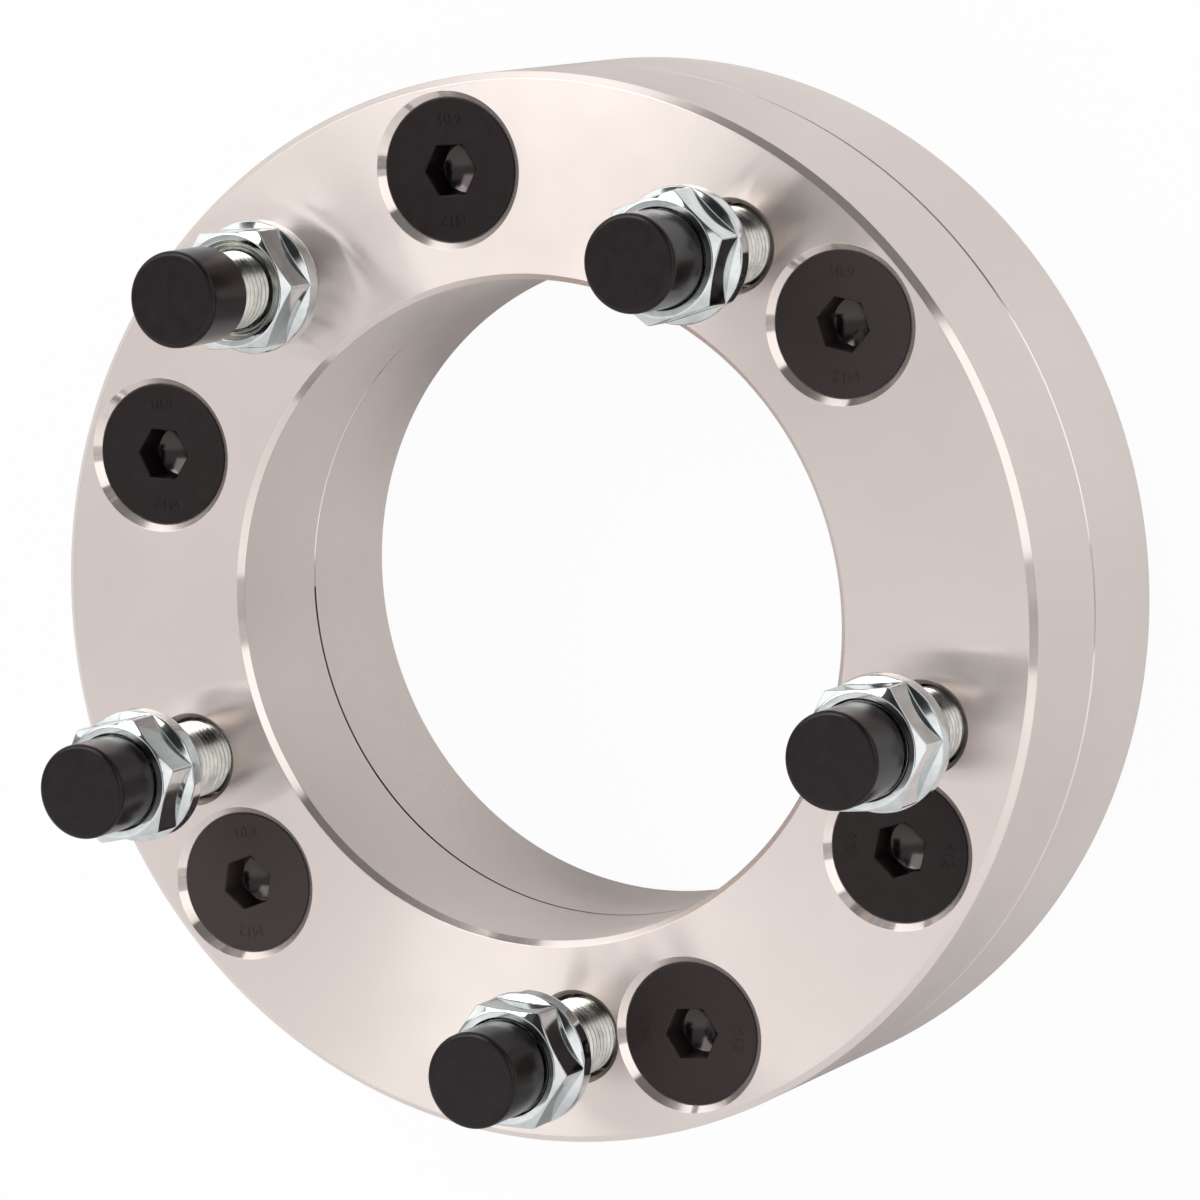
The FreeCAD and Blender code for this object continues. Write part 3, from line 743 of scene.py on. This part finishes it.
def addCap(number):
    # From the end of the blind bore down to its mouth, up the outside and over the front.
    node = f"thread_cap_{number}"
    low, high = heightsOf(node)
    bore, boreEnd = cap["boreRadius"], high - cap["endWall"]
    corners = [
        (0, boreEnd, 0), (bore, boreEnd, cap["boreEndRound"]), (bore, low, cap["boreMouthRound"]),
        (cap["radius"], low, cap["backRound"]), (cap["radius"], high, cap["frontRound"]), (0, high, 0),
    ]
    centre = placeOnCircle(hole["studAngles"][number - 1], hole["studCircle"])
    patch = turnedPatch(corners, evenAngles(cap["columns"]), centre, steps=6)
    return addPiece(f"threadCapBlack{number}", [patch], node, capPlastic, sharpAngle=40)


for number in range(1, len(hole["studAngles"]) + 1):
    addCap(number)
print("caps made")


# Floor, light and camera

studio = dict(
    floorSize=30.0, floorColour=(0.86, 0.86, 0.86, 1), floorGlow=0.95,
    # Levels of the floor as the metal mirrors it, near the outer wall, in the bore and far away.
    # Towards the ends of what shows of a wall they fall off: level x (fall x cosine + rest).
    mirroredFloor=dict(outside=0.82, slope=2.2, most=0.92, outsideFall=(1.0, 0.38), inside=0.70,
                       insideFall=(1.5, -0.4), least=0.45, far=0.82, farFrom=130.0, farTo=170.0),
    camera=dict(azimuth=-24.6511, elevation=63.0982, roll=105.7661, distance=1005.279,
                aim=(10.6898, -5.9985, 50.8), lens=187.13, sensor=36.0),
    # Brightness of the room from below the camera to above it, as (height, brightness)
    room=[(0.0, 0.75), (0.15, 0.95), (0.30, 1.15), (0.36, 1.1), (0.42, 0.56), (0.58, 0.52),
          (0.66, 0.08), (1.0, 0.1)],
    # Soft panels as the photographer sees them: middle (right, up, towards the camera), the axis
    # they stand along, half width, half height and soft edge in degrees, brightness
    panels=[
        ("left", (-0.78, 0.37, 0.52), 1, 19, 20, 4, 2.85),
        ("front", (0.22, -0.15, 0.96), 1, 15, 24, 4, 1.2),
        ("photographer", (-0.17, 0.12, 0.98), 1, 9, 34, 3, 0.03),
        ("right", (0.53, 0.28, 0.80), 1, 13, 19, 2, 1.5),
        ("gap", (0.64, -0.22, 0.74), 1, 9, 6, 2, 0.4),
        ("above", (-0.20, 0.95, -0.25), 2, 60, 30, 2, 1.4),
    ],
    lamp=dict(direction=(-0.5, 0.6, 0.6), distance=1500.0, size=700.0, watts=4.0),
)


def direction(azimuth, elevation):
    turn, rise = math.radians(azimuth), math.radians(elevation)
    return Vector((math.cos(rise) * math.cos(turn), math.cos(rise) * math.sin(turn), math.sin(rise)))


def addCamera():
    view = studio["camera"]
    away = direction(view["azimuth"], view["elevation"])
    camera = bpy.data.cameras.new("camera")
    camera.lens = view["lens"]
    camera.sensor_width = view["sensor"]
    camera.clip_end = 50.0
    holder = linkObject("camera", camera)
    facing = away.to_track_quat("Z", "Y").to_matrix().to_4x4()
    roll = Matrix.Rotation(math.radians(-view["roll"]), 4, "Z")
    place = (Vector(view["aim"]) + away * view["distance"]) * mm
    holder.matrix_world = Matrix.Translation(place) @ facing @ roll
    bpy.context.scene.camera = holder
    return (facing @ roll).to_3x3()  # its columns point right, up and towards the camera


def fallOff(tree, cosine, shape, least):
    # Between least and 1: fall x cosine + rest.
    fall, rest = shape
    share = mathNode(tree, "ADD", mathNode(tree, "MULTIPLY", cosine, fall), rest)
    return mathNode(tree, "MAXIMUM", mathNode(tree, "MINIMUM", share, 1.0), least)


def mirroredLevel(tree, axes):
    # The floor as the object mirrors it grows lighter towards the top of the picture, and darker
    # to both sides of the line that runs from the axis to the camera. In the bore and far away it
    # has levels of its own.
    look = studio["mirroredFloor"]
    place = add(tree, "TexCoord").outputs["Object"]
    uphill = Vector((axes.col[1].x, axes.col[1].y, 0)).normalized()
    ahead = Vector((axes.col[2].x, axes.col[2].y, 0)).normalized()
    rise = vectorNode(tree, "DOT_PRODUCT", place, uphill * look["slope"])
    unshaded = mathNode(tree, "MINIMUM", mathNode(tree, "ADD", rise, look["outside"]), look["most"])
    outward = vectorNode(tree, "NORMALIZE", place)
    cosine = mathNode(tree, "ABSOLUTE", vectorNode(tree, "DOT_PRODUCT", outward, ahead))
    outsideShare = fallOff(tree, cosine, look["outsideFall"], look["least"])
    insideShare = fallOff(tree, cosine, look["insideFall"], look["least"])
    fromAxis = vectorNode(tree, "LENGTH", place)
    far = mapNode(tree, fromAxis, look["farFrom"] * mm, look["farTo"] * mm, smooth=True)
    outside = mixNode(tree, far, mathNode(tree, "MULTIPLY", unshaded, outsideShare), look["far"])
    within = mathNode(tree, "LESS_THAN", fromAxis, ring["boreRadius"] * mm)
    return mixNode(tree, within, outside, mathNode(tree, "MULTIPLY", insideShare, look["inside"]))


def addFloor(axes):
    # White to the camera, a chosen level to mirrors, and matt for the rest. A little of the matt
    # floor shows to the camera too, and with it the object's shadow.
    half = studio["floorSize"] / 2
    corners = [(-half, -half, 0), (half, -half, 0), (half, half, 0), (-half, half, 0)]
    mesh = bpy.data.meshes.new("floor")
    mesh.from_pydata(corners, [], [(0, 1, 2, 3)])
    linkObject("floor", mesh)
    material, tree, shader = newMaterial("paleFloor")
    tree.nodes.remove(shader)
    path = add(tree, "LightPath")
    camera, glossy = path.outputs["Is Camera Ray"], path.outputs["Is Glossy Ray"]
    mirrored = mathNode(tree, "MULTIPLY", glossy, mirroredLevel(tree, axes))
    matt = add(tree, "BsdfDiffuse", Color=studio["floorColour"])
    glow = add(tree, "Emission", Color=(1, 1, 1, 1), Strength=mathNode(tree, "ADD", mirrored, camera))
    shown = mathNode(tree, "MULTIPLY", camera, studio["floorGlow"])
    mixed = add(tree, "MixShader", Fac=mathNode(tree, "ADD", shown, glossy))
    for socket, part in zip(mixed.inputs[1:], (matt, glow)):
        feed(tree, socket, part.outputs[0])
    feed(tree, tree.nodes["Material Output"].inputs["Surface"], mixed.outputs["Shader"])
    mesh.materials.append(material)


def addLamp(axes):
    look = studio["lamp"]
    lamp = bpy.data.lights.new("softLamp", "AREA")
    lamp.shape = "DISK"
    lamp.size = look["size"] * mm
    lamp.energy = look["watts"]
    holder = linkObject("softLamp", lamp)
    away = (axes @ Vector(look["direction"])).normalized()
    holder.location = away * look["distance"] * mm
    holder.rotation_euler = away.to_track_quat("Z", "Y").to_euler()


def addRoom(axes):
    # White behind the object. All its light comes from a soft room: a ramp by height as the camera
    # sees it, and soft-edged panels, each the part of the sphere where |x| and |y| stay under a size.
    world = bpy.data.worlds.new("softRoom")
    bpy.context.scene.world = world
    world.use_nodes = True
    tree = world.node_tree
    way = add(tree, "TexCoord").outputs["Generated"]
    height = mapNode(tree, vectorNode(tree, "DOT_PRODUCT", way, axes.col[1]), -1.0, 1.0)
    # A ramp's colours end at 1, so it holds half the brightness
    halves = ramp(tree, height, [(place, (level / 2,) * 3) for place, level in studio["room"]])
    level = mathNode(tree, "MULTIPLY", halves, 2.0)
    for name, middle, upright, halfWidth, halfHeight, soft, brightness in studio["panels"]:
        ahead = (axes @ Vector(middle)).normalized()
        side = axes.col[upright].cross(ahead).normalized()
        over = ahead.cross(side)
        depth = vectorNode(tree, "DOT_PRODUCT", way, ahead)
        mask = mathNode(tree, "GREATER_THAN", depth, 0.02)  # only the half of the sphere it stands in
        for axis, half in ((side, halfWidth), (over, halfHeight)):
            reach = mathNode(tree, "DIVIDE", vectorNode(tree, "DOT_PRODUCT", way, axis), depth)
            outer, inner = math.tan(math.radians(half)), math.tan(math.radians(half - soft))
            inside = mapNode(tree, mathNode(tree, "ABSOLUTE", reach), outer, inner, smooth=True)
            mask = mathNode(tree, "MULTIPLY", mask, inside)
        level = mixNode(tree, mask, level, brightness)
        level.node.label = name
    seen = add(tree, "LightPath").outputs["Is Camera Ray"]
    background = tree.nodes["Background"]
    feed(tree, background.inputs["Color"], mixNode(tree, seen, level, 1.0))
    background.inputs["Strength"].default_value = 1.0


cameraAxes = addCamera()
addFloor(cameraAxes)
addLamp(cameraAxes)
addRoom(cameraAxes)
bpy.context.scene.view_settings.view_transform = "Standard"
print("stage set")
